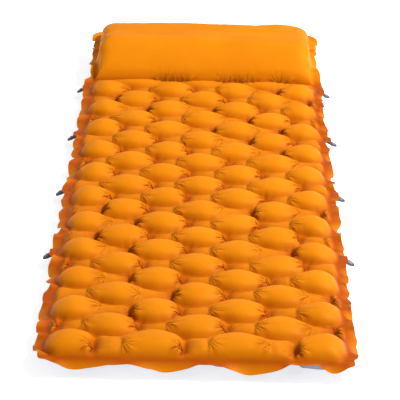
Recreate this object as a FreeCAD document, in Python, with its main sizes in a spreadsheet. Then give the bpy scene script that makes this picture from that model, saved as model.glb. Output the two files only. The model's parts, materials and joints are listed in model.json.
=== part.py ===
import FreeCAD, Part
import math
import os
import Sketcher

# Inflatable sleeping pad with a built-in pillow, millimetres.
# +X is across the pad, +Y runs from the foot end to the pillow, +Z is up.
# The origin is on the ground under the middle of the pad.

DOCUMENT = FreeCAD.newDocument("sleeping_pad")
SIZES = DOCUMENT.addObject("Spreadsheet::Sheet", "Sizes")

DRIVING_SIZES = {
    # fabric envelope
    "pad_width": 600.0,
    "pad_length": 1900.0,
    "flange_width": 22.0,
    "flange_corner": 45.0,
    "fabric": 1.2,
    "seam_height": 30.0,
    "pad_top": 60.0,
    "pad_round": 24.0,
    "pillow_top": 130.0,
    "pillow_round": 24.0,
    "pillow_brow": 34.0,
    "pillow_slope": 60.0,
    "pillow_front": 640.0,
    "partition_weld": 12.0,
    # side tabs, measured outwards from the line that each tab folds about
    "tab_fold": 288.0,
    "tab_fold_height": 27.6,
    "tab_width": 28.0,
    "tab_length": 28.0,
    "tab_fabric": 1.6,
    "tab_round": 10.0,
    "tab_gap": 0.3,
    "tab_droop": 25.0,
    "tab_last_row": 606.0,
    "tab_spacing": 350.0,
    "patch_length": 9.0,
    # press studs
    "snap_reach": 18.0,
    "snap_disc_radius": 6.2,
    "snap_disc": 1.2,
    "snap_ring_radius": 5.6,
    "snap_web": 1.05,
    "snap_bore_radius": 3.25,
    "snap_stud_radius": 3.15,
    "snap_depth": 2.7,
    "snap_post_radius": 1.4,
    "snap_play": 0.05,
    # valve, heights measured outwards from the pillow's rear slope
    "valve_side": 190.0,
    "valve_drop": 4.2,
    "valve_tilt": 45.0,
    "weld_disc_radius": 22.0,
    "weld_disc": 1.0,
    "neck_bore_radius": 12.7,
    "neck_radius": 15.0,
    "neck_top": 3.5,
    "neck_depth": 7.5,
    "plug_hinge": 19.0,
    "plug_top_radius": 12.4,
    "plug_foot_radius": 10.8,
    "plug_foot": 7.0,
    "plug_rim_radius": 16.0,
    "plug_rim_low": 3.7,
    "plug_rim_high": 5.3,
    "plug_tab": 6.0,
    "plug_tab_round": 3.0,
    "port_radius": 7.0,
    "seat_radius": 5.0,
    "seat_web": 1.5,
    "hub_radius": 2.2,
    "stem_radius": 0.95,
    "spoke_width": 1.6,
    "plug_groove_radius": 11.2,
    "plug_seal_height": 1.3,
    "plug_seal_section": 0.6,
    "plug_seal_radius": 11.85,
    "flap_radius": 7.5,
    "flap": 0.8,
    "flap_travel": 1.5,
    "barb_radius": 1.8,
    "cap_hinge": 12.5,
    "cap_radius": 10.5,
    "cap_low": 5.45,
    "cap_high": 6.9,
    "cap_tab": 4.0,
    "cap_tab_round": 2.5,
    "spigot_radius": 6.5,
    "spigot_low": 2.5,
    "cap_groove_radius": 5.65,
    "cap_seal_height": 4.0,
    "cap_seal_section": 0.5,
    "cap_seal_radius": 6.2,
    "ear_width": 8.0,
    "ear_gap": 0.3,
}

TABS_PER_SIDE = 4
SIDES = {"right": 1, "left": -1}


def fill_sheet():
    for row, (alias, value) in enumerate(DRIVING_SIZES.items(), start=1):
        SIZES.set(f"A{row}", alias)
        SIZES.set(f"B{row}", str(value))
        SIZES.setAlias(f"B{row}", alias)
    DOCUMENT.recompute()


def size(expression):
    """The number that an expression on the sheet gives."""
    return float(SIZES.evalExpression(expression))


def bound(expression):
    """The same expression as seen from another object of the document."""
    words = []
    for word in expression.replace("(", "( ").replace(")", " )").split():
        words.append("Sizes." + word if word in DRIVING_SIZES else word)
    return " ".join(words)


# ---- fabric envelope: rounded blocks, hollowed, each with its welded rim ----

def block(name, width, length, height, front, base):
    """A box centred on X, its size and place bound to the sheet."""
    box = DOCUMENT.addObject("Part::Box", name)
    box.setExpression("Length", bound(width))
    box.setExpression("Width", bound(length))
    box.setExpression("Height", bound(height))
    box.setExpression("Placement.Base.x", bound(f"-1 * ( {width} ) / 2"))
    box.setExpression("Placement.Base.y", bound(front))
    box.setExpression("Placement.Base.z", bound(base))
    DOCUMENT.recompute()
    return box


def dressed(kind, base, name, amount, wanted):
    """Round or bevel the edges whose middle point passes the test."""
    made = DOCUMENT.addObject(kind, name)
    made.Base = base
    chosen = []
    for number, edge in enumerate(base.Shape.Edges, start=1):
        middle = edge.valueAt((edge.FirstParameter + edge.LastParameter) / 2)
        if wanted(middle):
            chosen.append((number, amount, amount))
    made.Edges = chosen
    DOCUMENT.recompute()
    return made


def off_level(level):
    """Edges that don't lie in the open side of a chamber."""
    return lambda point: abs(point.z - level) > 0.01


def chamber_half(label, sizes, bevels, round_radius, inset):
    """One rounded block. bevels holds (amount, side), side +1 for the rear top edge."""
    made = block(f"{label}_block", *sizes)
    for amount, side in bevels:
        box = made.Shape.BoundBox
        end = box.YMax if side > 0 else box.YMin
        top = box.ZMax
        made = dressed("Part::Chamfer", made, f"{label}_bevel_{'rear' if side > 0 else 'front'}",
                       amount - inset * BEVEL_INSET,
                       lambda point: abs(point.y - end) < 0.01 and abs(point.z - top) < 0.01)
    seam = size("seam_height")
    return dressed("Part::Fillet", made, f"{label}_round", round_radius - inset, off_level(seam))


def sheet_panel(label, plate, chamber, round_radius, corner_test, bevels=()):
    """A hollow chamber half with a flat rim. plate and chamber are block sizes."""
    rim = block(f"{label}_rim_block", *plate)
    rim = dressed("Part::Fillet", rim, f"{label}_rim", size("flange_corner"), corner_test)
    outer = chamber_half(f"{label}_outer", chamber["outer"], bevels, round_radius, 0.0)
    inner = chamber_half(f"{label}_inner", chamber["inner"], bevels, round_radius, size("fabric"))
    solid = DOCUMENT.addObject("Part::MultiFuse", f"{label}_solid")
    solid.Shapes = [rim, outer]
    hollow = DOCUMENT.addObject("Part::Cut", label)
    hollow.Base = solid
    hollow.Tool = inner
    hollow.Label = label
    return hollow


def vertical_corner(at_foot, at_head):
    """Corners of the rim that are rounded in plan."""
    side = size("pad_width") / 2
    end = size("pad_length") / 2

    def test(point):
        on_side = abs(abs(point.x) - side) < 0.01
        foot = at_foot and abs(point.y + end) < 0.01
        head = at_head and abs(point.y - end) < 0.01
        return on_side and (foot or head)

    return test


BEVEL_INSET = 2 - math.sqrt(2)
CHAMBER_WIDTH = "( pad_width - 2 * flange_width )"
INSIDE_WIDTH = "( pad_width - 2 * flange_width - 2 * fabric )"
FOOT = "( -0.5 * pad_length )"
PAD_LENGTH = "( pillow_front - partition_weld / 2 + 0.5 * pad_length - flange_width )"
PILLOW_START = "( pillow_front + partition_weld / 2 )"
PILLOW_LENGTH = "( 0.5 * pad_length - flange_width - pillow_front - partition_weld / 2 )"


def make_top_sheet():
    chamber = {
        "outer": (CHAMBER_WIDTH, PAD_LENGTH, "pad_top - seam_height",
                  f"{FOOT} + flange_width", "seam_height"),
        "inner": (INSIDE_WIDTH, f"{PAD_LENGTH} - 2 * fabric",
                  "pad_top - seam_height - fabric",
                  f"{FOOT} + flange_width + fabric", "seam_height"),
    }
    plate = ("pad_width", "pillow_front + partition_weld / 2 + 0.5 * pad_length",
             "fabric", FOOT, "seam_height")
    return sheet_panel("top_sheet", plate, chamber, size("pad_round"),
                       vertical_corner(True, False))


def make_bottom_sheet():
    length = "( pad_length - 2 * flange_width )"
    chamber = {
        "outer": (CHAMBER_WIDTH, length, "seam_height",
                  f"{FOOT} + flange_width", "0 * seam_height"),
        "inner": (INSIDE_WIDTH, f"{length} - 2 * fabric", "seam_height - fabric",
                  f"{FOOT} + flange_width + fabric", "fabric"),
    }
    plate = ("pad_width", "pad_length", "fabric", FOOT, "seam_height - fabric")
    return sheet_panel("bottom_sheet", plate, chamber, size("pad_round"),
                       vertical_corner(True, True))


def valve_placement(lift=0.0):
    """Where the valve's own axis stands: square to the pillow's rear slope, off to one side."""
    middle = size("pillow_slope / 2 - valve_drop")
    face = FreeCAD.Vector(size("valve_side"), size("0.5 * pad_length - flange_width") - middle,
                          size("pillow_top") - size("pillow_slope / 2 + valve_drop"))
    turn = FreeCAD.Rotation(FreeCAD.Vector(1, 0, 0), -size("valve_tilt"))
    return FreeCAD.Placement(face + turn.multVec(FreeCAD.Vector(0, 0, lift)), turn)


def make_pillow_panel():
    """The pillow's own panel, higher than the pad, with the valve's hole at the rear."""
    chamber = {
        "outer": (CHAMBER_WIDTH, PILLOW_LENGTH, "pillow_top - seam_height",
                  PILLOW_START, "seam_height"),
        "inner": (INSIDE_WIDTH, f"{PILLOW_LENGTH} - 2 * fabric",
                  "pillow_top - seam_height - fabric",
                  f"{PILLOW_START} + fabric", "seam_height"),
    }
    plate = ("pad_width", "0.5 * pad_length - pillow_front - partition_weld / 2",
             "fabric", PILLOW_START, "seam_height")
    bevels = ((size("pillow_slope"), 1), (size("pillow_brow"), -1))
    panel = sheet_panel("pillow_shell", plate, chamber, size("pillow_round"),
                        vertical_corner(False, True), bevels)
    drill = DOCUMENT.addObject("Part::Cylinder", "valve_hole")
    drill.setExpression("Radius", bound("neck_radius + 0.2"))
    drill.setExpression("Height", bound("20 * fabric"))
    drill.Placement = valve_placement(-10 * size("fabric"))
    pierced = DOCUMENT.addObject("Part::Cut", "pillow_panel")
    pierced.Base = panel
    pierced.Tool = drill
    pierced.Label = "pillow_panel"
    return pierced


# ---- bodies with sketches ----

def new_body(label):
    body = DOCUMENT.addObject("PartDesign::Body", label)
    body.Label = label
    return body


def new_sketch(body, name, role, lift="0 * fabric"):
    sketch = body.newObject("Sketcher::SketchObject", f"{body.Name}_{name}")
    plane = next(f for f in body.Origin.OriginFeatures if f.Role == role)
    sketch.AttachmentSupport = [(plane, "")]
    sketch.MapMode = "FlatFace"
    sketch.setExpression("AttachmentOffset.Base.z", bound(lift))
    return sketch


def close_outline(sketch, corners):
    """A closed outline of straight lines, each corner bound to the sheet."""
    places = [FreeCAD.Vector(size(x), size(y), 0) for x, y in corners]
    count = len(places)
    first = sketch.GeometryCount
    for index in range(count):
        line = Part.LineSegment(places[index], places[(index + 1) % count])
        sketch.addGeometry(line, False)
    for index in range(count):
        after = first + (index + 1) % count
        sketch.addConstraint(Sketcher.Constraint("Coincident", first + index, 2, after, 1))
    for index, (x, y) in enumerate(corners):
        for kind, text, value in (("DistanceX", x, places[index].x),
                                  ("DistanceY", y, places[index].y)):
            number = sketch.addConstraint(
                Sketcher.Constraint(kind, -1, 1, first + index, 1, value))
            sketch.setExpression(f"Constraints[{number}]", bound(text))


def add_circle(sketch, radius, across="0 * fabric"):
    """A circle on the sketch's horizontal axis."""
    centre = FreeCAD.Vector(size(across), 0, 0)
    circle = sketch.addGeometry(Part.Circle(centre, FreeCAD.Vector(0, 0, 1), size(radius)), False)
    for kind, text, value in (("DistanceX", across, centre.x), ("DistanceY", "0 * fabric", 0.0)):
        number = sketch.addConstraint(Sketcher.Constraint(kind, -1, 1, circle, 3, value))
        sketch.setExpression(f"Constraints[{number}]", bound(text))
    number = sketch.addConstraint(Sketcher.Constraint("Radius", circle, size(radius)))
    sketch.setExpression(f"Constraints[{number}]", bound(radius))


def feature(body, kind, name, sketch, length):
    made = body.newObject(kind, f"{body.Name}_{name}")
    made.Profile = sketch
    made.setExpression("Length", bound(length))
    body.Tip = made
    DOCUMENT.recompute()
    return made


def pad(body, name, sketch, length):
    return feature(body, "PartDesign::Pad", name, sketch, length)


def turned(body, name, outline, across=None):
    """A solid turned about Z, or about a line beside it at the distance given."""
    sketch = new_sketch(body, f"{name}_profile", "XZ_Plane")
    if across is None:
        close_outline(sketch, outline)
    else:
        close_outline(sketch, [(f"{across} + {x}", y) for x, y in outline])
        sketch.addGeometry(Part.LineSegment(FreeCAD.Vector(size(across), -10, 0),
                                            FreeCAD.Vector(size(across), 10, 0)), True)
        line = sketch.GeometryCount - 1
        sketch.addConstraint(Sketcher.Constraint("Vertical", line))
        for point, height in ((1, -10.0), (2, 10.0)):
            sketch.addConstraint(Sketcher.Constraint("DistanceY", -1, 1, line, point, height))
        number = sketch.addConstraint(
            Sketcher.Constraint("DistanceX", -1, 1, line, 1, size(across)))
        sketch.setExpression(f"Constraints[{number}]", bound(across))
    made = body.newObject("PartDesign::Revolution", f"{body.Name}_{name}")
    made.Profile = sketch
    made.ReferenceAxis = (sketch, ["V_Axis"] if across is None else ["Axis0"])
    made.Angle = 360.0
    body.Tip = made
    DOCUMENT.recompute()
    return made


def soften(body, name, radius, wanted):
    """Round the edges of the tip whose middle point passes the test."""
    base = body.Tip
    chosen = []
    for number, edge in enumerate(base.Shape.Edges, start=1):
        middle = edge.valueAt((edge.FirstParameter + edge.LastParameter) / 2)
        if wanted(edge, middle):
            chosen.append(f"Edge{number}")
    made = body.newObject("PartDesign::Fillet", f"{body.Name}_{name}")
    made.Base = (base, chosen)
    made.setExpression("Radius", bound(radius))
    body.Tip = made
    DOCUMENT.recompute()


def bar(body, name, x_low, x_high, width, z_low, z_high):
    """A flat bar along X, centred on Y."""
    sketch = new_sketch(body, f"{name}_outline", "XY_Plane", z_low)
    close_outline(sketch, [
        (x_low, f"-0.5 * {width}"), (x_high, f"-0.5 * {width}"),
        (x_high, f"0.5 * {width}"), (x_low, f"0.5 * {width}")])
    return pad(body, name, sketch, f"( {z_high} ) - ( {z_low} )")


def upright(edge, length):
    """True for a straight edge along Z of about this length."""
    ends = [vertex.Point for vertex in edge.Vertexes]
    if len(ends) != 2:
        return False
    level = abs(ends[0].x - ends[1].x) < 0.001 and abs(ends[0].y - ends[1].y) < 0.001
    return level and abs(abs(ends[0].z - ends[1].z) - length) < 0.01


# ---- side tabs and press studs, drawn at the fold line and then carried out ----

def tab_places():
    for side, sign in SIDES.items():
        for number in range(TABS_PER_SIDE):
            along = size("tab_last_row") - number * size("tab_spacing")
            yield side, sign, number + 1, along


def carry_to_side(shape_object, sign, along):
    """Droop a piece about its fold line, and put it on its side of the pad."""
    droop = FreeCAD.Rotation(FreeCAD.Vector(0, 1, 0), size("tab_droop"))
    turn = FreeCAD.Rotation(FreeCAD.Vector(0, 0, 1), 0 if sign > 0 else 180)
    place = FreeCAD.Vector(sign * size("tab_fold"), along, size("tab_fold_height"))
    shape_object.Placement = FreeCAD.Placement(place, turn.multiply(droop))


def make_tab(label):
    body = new_body(label)
    bar(body, "strip", "tab_gap", "tab_length", "tab_width",
        "-0.5 * tab_fabric", "0.5 * tab_fabric")
    tip = size("tab_length")
    soften(body, "rounded_end", "tab_round",
           lambda edge, middle: upright(edge, size("tab_fabric")) and abs(middle.x - tip) < 0.01)
    sketch = new_sketch(body, "post_hole", "XY_Plane", "tab_fabric")
    add_circle(sketch, "snap_post_radius + 4 * snap_play", "snap_reach")
    feature(body, "PartDesign::Pocket", "post_pocket", sketch, "2 * tab_fabric")
    return body


def snap_disc(label, facing):
    """The disc with its post that goes through the tab. facing is the disc's side."""
    face = f"{facing} * ( 0.5 * tab_fabric + snap_play )"
    crown = f"{facing} * ( 0.5 * tab_fabric + snap_play + snap_disc )"
    shoulder = f"{facing} * ( 0.5 * tab_fabric + snap_play + 0.55 * snap_disc )"
    end = f"{-facing} * ( 0.5 * tab_fabric + snap_play + snap_web )"
    body = new_body(label)
    turned(body, "disc", [
        ("0 * fabric", end), ("snap_post_radius", end), ("snap_post_radius", face),
        ("snap_disc_radius", face), ("snap_disc_radius", shoulder),
        ("0.8 * snap_disc_radius", crown), ("0 * fabric", crown)], "snap_reach")
    return body


def snap_socket(label):
    """The ring that takes a neighbour's stud from below."""
    top = "-1 * ( 0.5 * tab_fabric + snap_play )"
    web = "-1 * ( 0.5 * tab_fabric + snap_play + snap_web )"
    mouth = "-1 * ( 0.5 * tab_fabric + snap_play + snap_web + snap_depth )"
    body = new_body(label)
    turned(body, "ring", [
        ("snap_post_radius + snap_play", top), ("snap_ring_radius", top),
        ("snap_ring_radius", f"{mouth} + 0.6"), ("snap_ring_radius - 0.6", mouth),
        ("snap_bore_radius", mouth), ("snap_bore_radius", web),
        ("snap_post_radius + snap_play", web)], "snap_reach")
    return body


def snap_stud(label):
    """The stud that enters a neighbour's socket, on the tab's upper face."""
    low = "0.5 * tab_fabric + snap_play"
    web = "0.5 * tab_fabric + snap_play + snap_web"
    crown = "0.5 * tab_fabric + snap_play + snap_web + snap_depth"
    body = new_body(label)
    turned(body, "stud", [
        ("snap_post_radius + snap_play", low), ("snap_ring_radius", low),
        ("snap_ring_radius", web), ("snap_stud_radius", web),
        ("snap_stud_radius", f"{crown} - 0.4"), ("snap_stud_radius - 0.4", crown),
        ("0 * fabric", crown), ("0 * fabric", f"{web} + snap_play"),
        ("snap_post_radius + snap_play", f"{web} + snap_play")], "snap_reach")
    return body


def make_tabs():
    made = []
    for side, sign, number, along in tab_places():
        name = f"{side}_{number}"
        pieces = [make_tab(f"tab_{name}")]
        if side == "right":
            pieces.append(snap_disc(f"snap_cap_{name}", 1))
            pieces.append(snap_socket(f"snap_socket_{name}"))
        else:
            pieces.append(snap_disc(f"snap_base_{name}", -1))
            pieces.append(snap_stud(f"snap_stud_{name}"))
        for piece in pieces:
            carry_to_side(piece, sign, along)
        made.extend(pieces)
    return made


def make_tab_patches():
    """Where each tab's root is welded under the rim, one small solid for each tab."""
    boxes = []
    for side, sign, number, along in tab_places():
        box = DOCUMENT.addObject("Part::Box", f"patch_{side}_{number}")
        box.setExpression("Length", bound("patch_length"))
        box.setExpression("Width", bound("tab_width"))
        box.setExpression("Height", bound("0.5 * tab_fabric"))
        inner = "tab_fold - patch_length" if sign > 0 else "-1 * tab_fold"
        box.setExpression("Placement.Base.x", bound(inner))
        step = f"tab_last_row - {number - 1} * tab_spacing - tab_width / 2"
        box.setExpression("Placement.Base.y", bound(step))
        box.setExpression("Placement.Base.z", bound("seam_height - fabric - 0.5 * tab_fabric"))
        boxes.append(box)
    group = DOCUMENT.addObject("Part::Compound", "tab_patches")
    group.Links = boxes
    group.Label = "tab_patches"
    return group


# ---- valve, drawn with its axis along Z and then stood on the pillow's rear slope ----

def make_valve_base():
    """A soft disc welded to the fabric, with the neck that the plug sits in."""
    body = new_body("valve_base")
    turned(body, "collar", [
        ("neck_bore_radius", "-1 * neck_depth"), ("neck_radius", "-1 * neck_depth"),
        ("neck_radius", "0 * fabric"), ("weld_disc_radius", "0 * fabric"),
        ("weld_disc_radius", "0.5 * weld_disc"), ("weld_disc_radius - 1.5", "weld_disc"),
        ("neck_radius", "weld_disc"), ("neck_radius", "neck_top"),
        ("neck_bore_radius", "neck_top")])
    return body


def make_plug_tether():
    """A ring round the neck, with the ear that the plug's strap bends from."""
    body = new_body("plug_tether")
    low = "weld_disc + 0.05"
    high = "weld_disc + 1.3"
    turned(body, "ring", [
        ("neck_radius + 0.15", low), ("neck_radius + 2.2", low),
        ("neck_radius + 2.2", high), ("neck_radius + 0.15", high)])
    bar(body, "ear", "-1 * plug_hinge + ear_gap", "-1 * neck_radius - 1", "ear_width", low, high)
    return body


def make_deflation_plug():
    """A tapered stopper with the air port through it and the flap's seat at its foot."""
    body = new_body("deflation_plug")
    foot = "-1 * plug_foot"
    web = "-1 * plug_foot + seat_web"
    groove_low = "plug_seal_height - plug_seal_section - 0.2"
    groove_high = "plug_seal_height + plug_seal_section + 0.2"
    turned(body, "stopper", [
        ("seat_radius", foot), ("plug_foot_radius", foot),
        ("plug_top_radius - 0.2", groove_low), ("plug_groove_radius", groove_low),
        ("plug_groove_radius", groove_high), ("plug_top_radius - 0.1", groove_high),
        ("plug_top_radius", "plug_rim_low"), ("plug_rim_radius", "plug_rim_low"),
        ("plug_rim_radius", "plug_rim_high - 0.5"), ("plug_rim_radius - 0.5", "plug_rim_high"),
        ("port_radius", "plug_rim_high"), ("port_radius", web), ("seat_radius", web)])
    sketch = new_sketch(body, "spoke_outline", "XY_Plane", foot)
    close_outline(sketch, [
        ("0.5 * hub_radius", "-0.5 * spoke_width"), ("seat_radius + 1", "-0.5 * spoke_width"),
        ("seat_radius + 1", "0.5 * spoke_width"), ("0.5 * hub_radius", "0.5 * spoke_width")])
    spoke = pad(body, "spoke", sketch, "seat_web")
    pattern = body.newObject("PartDesign::PolarPattern", "deflation_plug_spokes")
    pattern.Originals = [spoke]
    pattern.Axis = (sketch, ["N_Axis"])
    pattern.Angle = 360
    pattern.Occurrences = 3
    body.Tip = pattern
    DOCUMENT.recompute()
    hub = new_sketch(body, "hub_outline", "XY_Plane", foot)
    add_circle(hub, "hub_radius")
    pad(body, "hub", hub, "seat_web")
    stem_hole = new_sketch(body, "stem_hole", "XY_Plane", "0 * fabric")
    add_circle(stem_hole, "stem_radius + 0.1")
    feature(body, "PartDesign::Pocket", "stem_pocket", stem_hole, "plug_foot + 1")
    bar(body, "pull_tab", "plug_rim_radius - 2", "plug_rim_radius + plug_tab", "ear_width",
        "plug_rim_low", "plug_rim_high - 0.4")
    bar(body, "strap", "-1 * plug_hinge + ear_gap", "-1 * plug_rim_radius + 1", "ear_width",
        "plug_rim_low", "plug_rim_high - 0.4")
    tip = size("plug_rim_radius + plug_tab")
    soften(body, "pull_tab_end", "plug_tab_round",
           lambda edge, middle: abs(middle.x - tip) < 0.01
           and upright(edge, size("plug_rim_high - 0.4 - plug_rim_low")))
    return body


def make_seal(label, radius, section, height):
    """A rubber ring, turned from its round section."""
    body = new_body(label)
    sketch = new_sketch(body, "section", "XZ_Plane")
    centre = FreeCAD.Vector(size(radius), size(height), 0)
    circle = sketch.addGeometry(Part.Circle(centre, FreeCAD.Vector(0, 0, 1), size(section)), False)
    for kind, text, value in (("DistanceX", radius, centre.x), ("DistanceY", height, centre.y)):
        number = sketch.addConstraint(Sketcher.Constraint(kind, -1, 1, circle, 3, value))
        sketch.setExpression(f"Constraints[{number}]", bound(text))
    number = sketch.addConstraint(Sketcher.Constraint("Radius", circle, size(section)))
    sketch.setExpression(f"Constraints[{number}]", bound(section))
    ring = body.newObject("PartDesign::Revolution", f"{label}_ring")
    ring.Profile = sketch
    ring.ReferenceAxis = (sketch, ["V_Axis"])
    ring.Angle = 360.0
    body.Tip = ring
    DOCUMENT.recompute()
    return body


def make_check_diaphragm():
    """A silicone flap under the seat, held by a barbed stem through the hub."""
    body = new_body("check_diaphragm")
    top = "-1 * plug_foot - 0.1"
    low = "-1 * plug_foot - 0.1 - flap"
    barb = "-1 * plug_foot + seat_web + flap_travel + 0.2"
    turned(body, "flap", [
        ("0 * fabric", low), ("flap_radius - 0.3", low), ("flap_radius", f"{low} + 0.3"),
        ("flap_radius", top), ("stem_radius", top), ("stem_radius", barb),
        ("barb_radius", barb), ("0.4 * barb_radius", f"{barb} + 1.2"),
        ("0 * fabric", f"{barb} + 1.2")])
    return body


def make_inflation_cap():
    """The small lid that closes the port, with a pull tab and its strap."""
    body = new_body("inflation_cap")
    groove_low = "cap_seal_height - cap_seal_section - 0.1"
    groove_high = "cap_seal_height + cap_seal_section + 0.1"
    turned(body, "lid", [
        ("0 * fabric", "spigot_low"), ("spigot_radius - 0.4", "spigot_low"),
        ("spigot_radius", "spigot_low + 0.4"), ("spigot_radius", groove_low),
        ("cap_groove_radius", groove_low), ("cap_groove_radius", groove_high),
        ("spigot_radius", groove_high), ("spigot_radius", "cap_low"),
        ("cap_radius", "cap_low"), ("cap_radius", "cap_high - 0.5"),
        ("cap_radius - 0.5", "cap_high"), ("0 * fabric", "cap_high")])
    bar(body, "pull_tab", "-1 * cap_radius - cap_tab", "-1 * cap_radius + 2", "ear_width - 1",
        "cap_low", "cap_high - 0.4")
    bar(body, "strap", "cap_radius - 2", "cap_hinge - ear_gap", "ear_width - 1",
        "cap_low", "cap_high - 0.4")
    tip = size("-1 * cap_radius - cap_tab")
    soften(body, "pull_tab_end", "cap_tab_round",
           lambda edge, middle: abs(middle.x - tip) < 0.01
           and upright(edge, size("cap_high - 0.4 - cap_low")))
    return body


def make_valve():
    pieces = [
        make_valve_base(),
        make_plug_tether(),
        make_deflation_plug(),
        make_seal("plug_seal", "plug_seal_radius", "plug_seal_section", "plug_seal_height"),
        make_check_diaphragm(),
        make_inflation_cap(),
        make_seal("cap_seal", "cap_seal_radius", "cap_seal_section", "cap_seal_height"),
    ]
    for piece in pieces:
        piece.Placement = valve_placement()
    return pieces


def check_document():
    for item in DOCUMENT.Objects:
        if "Invalid" in item.State or "Error" in item.State:
            raise RuntimeError(f"{item.Name} failed: {item.State}")


def write_nodes(nodes):
    os.makedirs("parts", exist_ok=True)
    for node in nodes:
        shape = node.Shape
        if shape.isNull() or not shape.isValid():
            raise RuntimeError(f"{node.Label} has no valid shape")
        shape.exportStep(f"parts/{node.Label}.step")
        box = shape.BoundBox
        print(f"{node.Label}: {len(shape.Solids)} solid(s), {shape.Volume:.1f} mm3, "
              f"{box.XLength:.1f} x {box.YLength:.1f} x {box.ZLength:.1f} mm")


fill_sheet()
NODES = [make_top_sheet(), make_bottom_sheet(), make_pillow_panel(), make_tab_patches()]
NODES += make_tabs()
NODES += make_valve()
DOCUMENT.recompute()
check_document()
write_nodes(NODES)
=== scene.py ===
"""Looks of the inflatable sleeping pad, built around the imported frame."""
import json
import math

import bpy
import numpy as np
from mathutils import Matrix, Vector


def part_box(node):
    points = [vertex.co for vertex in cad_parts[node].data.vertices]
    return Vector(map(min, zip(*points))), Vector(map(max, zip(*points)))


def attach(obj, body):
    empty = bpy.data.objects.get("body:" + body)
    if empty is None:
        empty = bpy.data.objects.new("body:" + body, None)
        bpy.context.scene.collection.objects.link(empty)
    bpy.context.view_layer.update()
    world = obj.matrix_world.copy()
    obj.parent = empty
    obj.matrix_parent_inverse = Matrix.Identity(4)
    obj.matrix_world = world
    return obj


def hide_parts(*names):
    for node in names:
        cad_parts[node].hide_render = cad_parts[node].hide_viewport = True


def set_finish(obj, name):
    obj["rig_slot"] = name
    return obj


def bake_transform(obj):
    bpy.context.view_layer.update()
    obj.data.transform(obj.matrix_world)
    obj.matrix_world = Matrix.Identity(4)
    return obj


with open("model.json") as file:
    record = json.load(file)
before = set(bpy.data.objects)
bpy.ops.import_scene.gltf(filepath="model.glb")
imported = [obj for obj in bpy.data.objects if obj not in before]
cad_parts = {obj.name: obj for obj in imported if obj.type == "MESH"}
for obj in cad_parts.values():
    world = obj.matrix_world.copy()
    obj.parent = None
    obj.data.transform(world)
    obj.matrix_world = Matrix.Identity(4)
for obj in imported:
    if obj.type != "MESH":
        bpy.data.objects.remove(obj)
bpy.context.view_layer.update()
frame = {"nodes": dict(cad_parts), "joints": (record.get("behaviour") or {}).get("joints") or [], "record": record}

SCENE = bpy.context.scene
SEED = 11
SIM_FRAMES = 20

# ---- sizes in metres, read from the frame or named here ----

pad_low, pad_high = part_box("bottom_sheet")
top_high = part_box("top_sheet")[1]

HALF_WIDTH = pad_high.x
FOOT = pad_low.y
LENGTH = pad_high.y - pad_low.y
SEAM_Z = pad_high.z
CELL_HEIGHT = top_high.z - SEAM_Z
PARTITION = top_high.y - FOOT          # distance from the foot end to the pillow's front weld
RIM = 0.022
CORNER = 0.050

CELL_WIDTH = 0.158                     # from bump to bump across the pad
ROW = 0.0722                           # from row to row along it
ROWS = 21
FIRST_ROW = 0.070
WAVE = 0.0128                          # how far a weld between rows bows round a bump
WELD_SPAN = 0.38                       # share of the bow that is left open for the air
SIDE_GAP = 0.013

PINCH = 0.15                           # a neck's pinches, as a share of the cell width from its middle

FLAT_ALONG = 1.27                      # flat length of the cells' fabric over its inflated length
FLAT_ACROSS = 1.13
FLAT_PILLOW_ACROSS = 1.05
FLAT_PILLOW = 0.330                    # flat length of the pillow's sheet, weld to rear edge
PILLOW_RISE = 0.059
PILLOW_SEAM = 0.063                    # height of the pillow's own side seam
VALVE_HOLE = 0.0170                    # radius of the fabric's hole under the weld disc
SEAT_GAP = 0.0004
LAYER = 0.0003                         # each sheet lies this far off the middle of a weld
EDGE_LAYER = 0.00008                   # and this far along the rim's cut edge
GROUND_SOFTNESS = 0.0015               # how gently a cell's underside flattens on the ground
RIM_DROOP = 0.009                      # how far the free side rim hangs
FOOT_DROOP = 0.011                     # and the foot's rim
CUSP_WIDTH = 0.013                     # of each sharp fold of the side rim
SPLIT_CALM = 0.017                     # no such fold this near the pillow's front weld
FOLD_DEPTH = 0.0050                    # of the short folds that fan out from a pinch
FOLD_SHARE = {True: 1.0, False: 0.50}  # of that depth at a firm and at a soft pinch
TUCK_SHARE = 0.35                      # and at a tuck along the pillow's front weld
FAN_REACH = 0.050                      # how far from a pinch its folds can reach
CREASE_WIDTH = 0.0045                  # of the crease that crosses a neck at its pinch
SLUMP = 0.024                          # how far back along the neck its ridge sinks to the pinch

TABS = {"right": 1, "left": -1}
TABS_PER_SIDE = 4
TAB_DROOP = math.radians(25)
TAB_REACH = 0.028                      # from its fold to its tip
TAB_ROUND = 0.010                      # radius of the tip's corners
TAB_BEND = 0.003                       # length over which it bends at the fold
TAB_HALF = 0.00072                     # half of a tab's thickness
TAB_ROOT = 0.009                       # how far its root reaches in under the rim
THREAD = 0.00028                       # radius of the tacks' thread
STITCHES = 15


def smooth(a, b, t):
    """0 before a, 1 after b, and smooth between them."""
    t = np.clip((t - a) / (b - a), 0.0, 1.0)
    return t * t * (3.0 - 2.0 * t)


def add_mesh(name, verts, faces):
    mesh = bpy.data.meshes.new(name)
    mesh.from_pydata([tuple(v) for v in verts], [], [tuple(f) for f in faces])
    mesh.update()
    made = bpy.data.objects.new(name, mesh)
    SCENE.collection.objects.link(made)
    for face in mesh.polygons:
        face.use_smooth = True
    return made


def apply_modifiers(made):
    """Leaves the mesh as its modifiers shape it."""
    graph = bpy.context.evaluated_depsgraph_get()
    final = bpy.data.meshes.new_from_object(made.evaluated_get(graph))
    made.modifiers.clear()
    made.data = final


# ---- the sheets' plan: a grid whose lines follow the welds ----

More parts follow.
